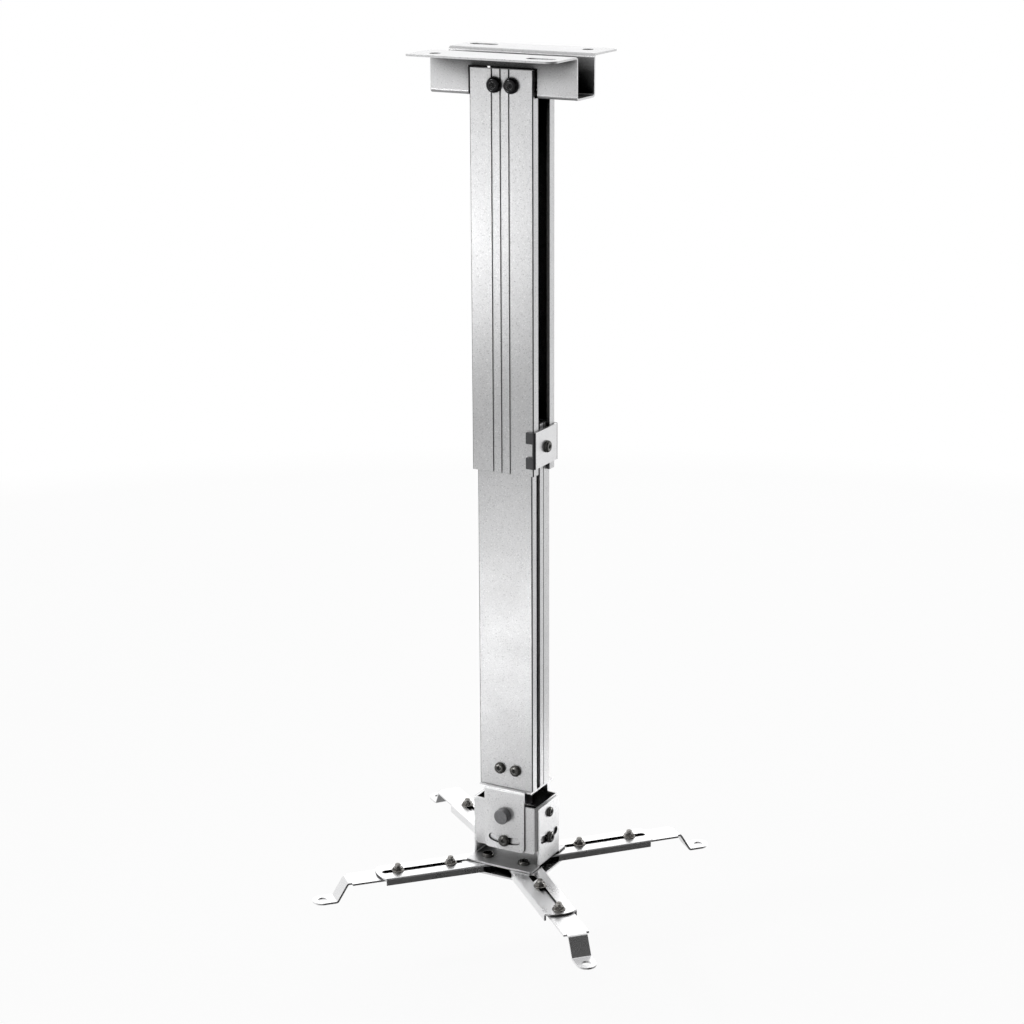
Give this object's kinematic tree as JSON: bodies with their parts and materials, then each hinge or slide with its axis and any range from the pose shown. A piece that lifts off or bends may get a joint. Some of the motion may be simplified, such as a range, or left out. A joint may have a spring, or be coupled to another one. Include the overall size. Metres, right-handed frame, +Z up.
{
  "type": "projector ceiling mount",
  "caption": "Telescopic projector ceiling mount: folded ceiling bracket, sliding column, two-axis tilt head and slotted spider arms with adjustable feet.",
  "frame": {"origin": "on the ceiling's face, on the column's axis", "axes": "+Z up to the ceiling, +X along the ceiling bracket's channel, -Y to the front"},
  "size_m": [0.267, 0.2482, 0.6457],
  "materials": {
    "coated_steel": "fine silver powder coat",
    "coated_aluminium": "fine silver powder coat",
    "black_screw": "black oxide",
    "bronze_fastener": "dark bronze plating",
    "plain_steel": "zinc plated"
  },
  "bodies": {
    "ceiling": {"ceiling_bracket": "coated_steel", "outer_column": "coated_aluminium", "column_bolts": "black_screw", "column_nuts": "plain_steel"},
    "drop_column": {"inner_column": "coated_aluminium", "clamp_plate": "coated_steel", "clamp_block": "coated_aluminium", "clamp_screw": "black_screw", "clamp_nut": "plain_steel", "column_foot": "coated_steel", "foot_screws": "black_screw", "yoke": "coated_steel", "yoke_bolts": "black_screw", "yoke_nuts": "plain_steel"},
    "cross": {"cross_block": "coated_steel", "roll_pins": "plain_steel", "roll_lock_screws": "black_screw", "roll_lock_nuts": "plain_steel", "pitch_lock_screws": "black_screw", "pitch_lock_nuts": "plain_steel", "pitch_bolt": "plain_steel", "pitch_nut": "plain_steel"},
    "base": {"base_bracket": "coated_steel", "hub_plate": "coated_steel", "arm_screws": "black_screw", "arm_spacers": "plain_steel", "arm_screw_nuts": "plain_steel"},
    "arm_front_left": {"arm_front_left": "coated_steel"},
    "bar_front_left": {"bar_front_left": "coated_steel", "bar_bolts_front_left": "bronze_fastener", "bar_nuts_front_left": "bronze_fastener"},
    "arm_front_right": {"arm_front_right": "coated_steel"},
    "bar_front_right": {"bar_front_right": "coated_steel", "bar_bolts_front_right": "bronze_fastener", "bar_nuts_front_right": "bronze_fastener"},
    "arm_rear_right": {"arm_rear_right": "coated_steel"},
    "bar_rear_right": {"bar_rear_right": "coated_steel", "bar_bolts_rear_right": "bronze_fastener", "bar_nuts_rear_right": "bronze_fastener"},
    "arm_rear_left": {"arm_rear_left": "coated_steel"},
    "bar_rear_left": {"bar_rear_left": "coated_steel", "bar_bolts_rear_left": "bronze_fastener", "bar_nuts_rear_left": "bronze_fastener"}
  },
  "joints": [
    {"name": "column_slide", "type": "slide", "parent": "ceiling", "child": "drop_column", "axis": [0, 0, 1], "range_m": [0, 0.234]},
    {"name": "head_roll", "type": "hinge", "parent": "drop_column", "child": "cross", "pos_m": [0, 0.0025, -0.588], "axis": [0, 1, 0], "range_deg": [-15, 15]},
    {"name": "head_pitch", "type": "hinge", "parent": "cross", "child": "base", "pos_m": [0, 0.0025, -0.5871], "axis": [1, 0, 0], "range_deg": [-15, 15]},
    {"name": "arm_front_left_swivel", "type": "hinge", "parent": "base", "child": "arm_front_left", "pos_m": [-0.016, -0.0155, -0.6286], "axis": [0, 0, 1], "range_deg": [-20, 20]},
    {"name": "bar_front_left_slide", "type": "slide", "parent": "arm_front_left", "child": "bar_front_left", "axis": [-0.682, -0.7314, 0], "range_m": [-0.008, 0.0099]},
    {"name": "arm_front_right_swivel", "type": "hinge", "parent": "base", "child": "arm_front_right", "pos_m": [0.016, -0.0155, -0.6286], "axis": [0, 0, 1], "range_deg": [-20, 20]},
    {"name": "bar_front_right_slide", "type": "slide", "parent": "arm_front_right", "child": "bar_front_right", "axis": [0.7314, -0.682, 0], "range_m": [-0.0165, 0.0014]},
    {"name": "arm_rear_right_swivel", "type": "hinge", "parent": "base", "child": "arm_rear_right", "pos_m": [0.016, 0.0185, -0.6286], "axis": [0, 0, 1], "range_deg": [-20, 20]},
    {"name": "bar_rear_right_slide", "type": "slide", "parent": "arm_rear_right", "child": "bar_rear_right", "axis": [0.6626, 0.749, 0], "range_m": [-0.007, 0.0109]},
    {"name": "arm_rear_left_swivel", "type": "hinge", "parent": "base", "child": "arm_rear_left", "pos_m": [-0.016, 0.0185, -0.6286], "axis": [0, 0, 1], "range_deg": [-20, 20]},
    {"name": "bar_rear_left_slide", "type": "slide", "parent": "arm_rear_left", "child": "bar_rear_left", "axis": [-0.8028, 0.5962, 0], "range_m": [-0.0162, 0.0017]}
  ]
}
